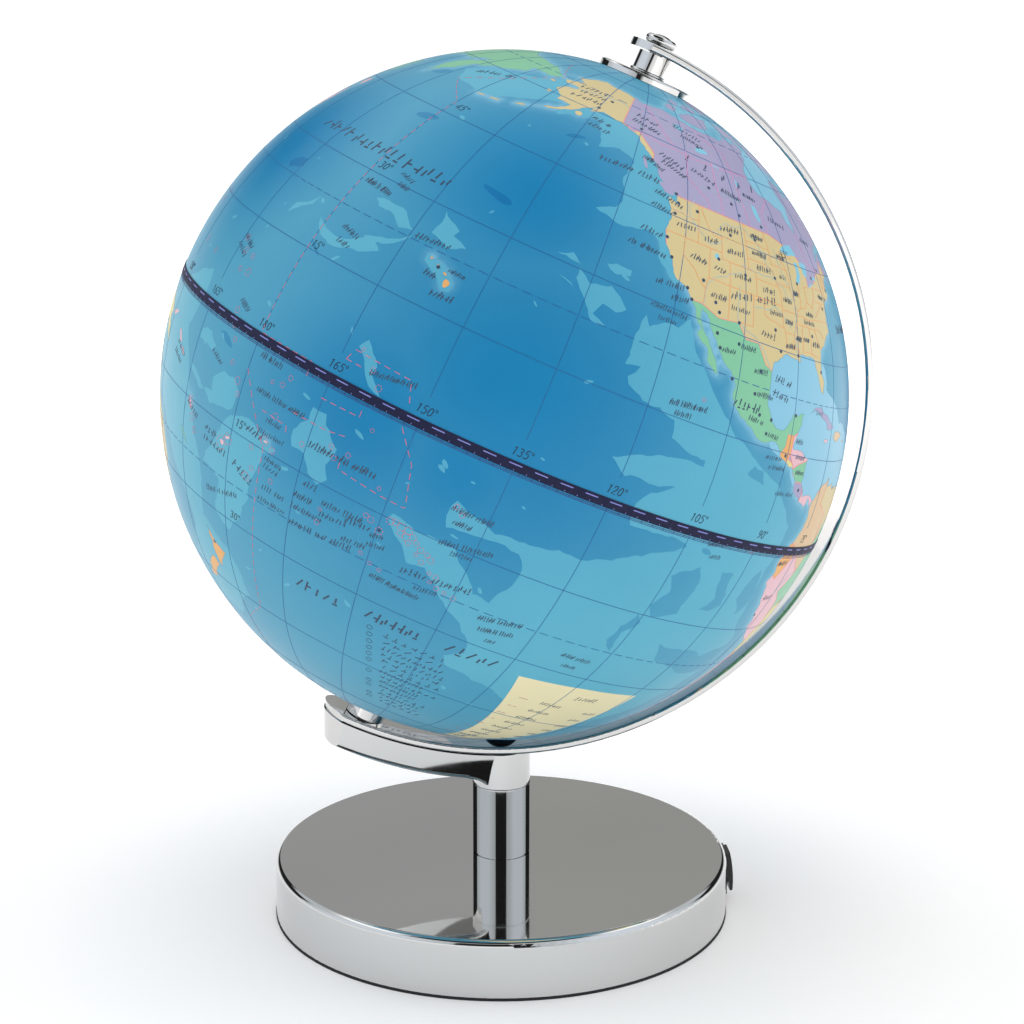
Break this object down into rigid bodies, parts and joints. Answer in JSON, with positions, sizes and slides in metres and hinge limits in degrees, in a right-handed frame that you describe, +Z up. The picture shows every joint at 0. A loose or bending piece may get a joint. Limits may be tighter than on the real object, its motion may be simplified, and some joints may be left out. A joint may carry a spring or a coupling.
{
  "type": "desktop globe on stand",
  "caption": "Political globe lit from inside, turning on a tilted axis in a polished half-round arm, on a post with a round weighted base and a rocker switch.",
  "frame": {"origin": "centre of the round base on the surface it stands on", "axes": "+Z up along the post; the arm stands in the XZ plane and the spin axis leans from +Z toward +X; -Y faces the viewer, with the strip's edge toward them"},
  "size_m": [0.2072, 0.2002, 0.2631],
  "materials": {
    "chrome": "mirror polished plating",
    "map_print": "printed, satin varnish",
    "tape_print": "printed tape, satin",
    "black_plastic": "fine moulded texture",
    "switch_black": "smooth moulding",
    "white_plastic": "natural moulding",
    "opal_plastic": "opal, diffusing",
    "foam_pad": "closed-cell foam",
    "steel": "zinc plated",
    "dark_screw": "black nickel",
    "brass": "plain",
    "cell_wrap": "shrink sleeve",
    "board": "white solder mask",
    "led": "phosphor resin",
    "wire": "PVC insulation"
  },
  "bodies": {
    "stand": {"base_cover": "chrome", "cover_posts": "steel", "base_plate": "black_plastic", "foot_pad": "foam_pad", "ballast_plate": "steel", "base_screws": "steel", "battery_tray": "black_plastic", "battery_cells": "cell_wrap", "battery_contacts": "steel", "battery_door": "black_plastic", "battery_door_screw": "steel", "switch_housing": "switch_black", "switch_terminals": "brass", "post": "chrome", "post_tie_tube": "steel", "post_washer": "steel", "post_nut": "steel", "arm_bracket": "chrome", "meridian_arm": "chrome", "arm_screw": "dark_screw", "south_collar": "chrome", "south_axle_tube": "steel", "south_nut": "steel", "lamp_holder": "white_plastic", "led_board": "board", "led_chips": "led", "lamp_diffuser": "opal_plastic", "lamp_leads": "wire", "switch_lead": "wire", "north_knob": "chrome", "north_pin": "steel", "north_spacer": "chrome"},
    "globe": {"ball_north": "map_print", "ball_south": "map_print", "equator_tape": "tape_print", "polar_disc": "chrome", "north_bush": "white_plastic", "south_bush": "white_plastic"},
    "switch": {"switch_rocker": "switch_black"}
  },
  "joints": [
    {"name": "globe_spin", "type": "hinge", "parent": "stand", "child": "globe", "pos_m": [0.0009, 0, 0.1584], "axis": [0.3987, 0, 0.9171], "continuous": true},
    {"name": "switch_rock", "type": "hinge", "parent": "stand", "child": "switch", "pos_m": [0.06691, 0.00351, 0.0094], "axis": [-0.0523, 0.9986, 0], "range_deg": [0, 10]}
  ]
}
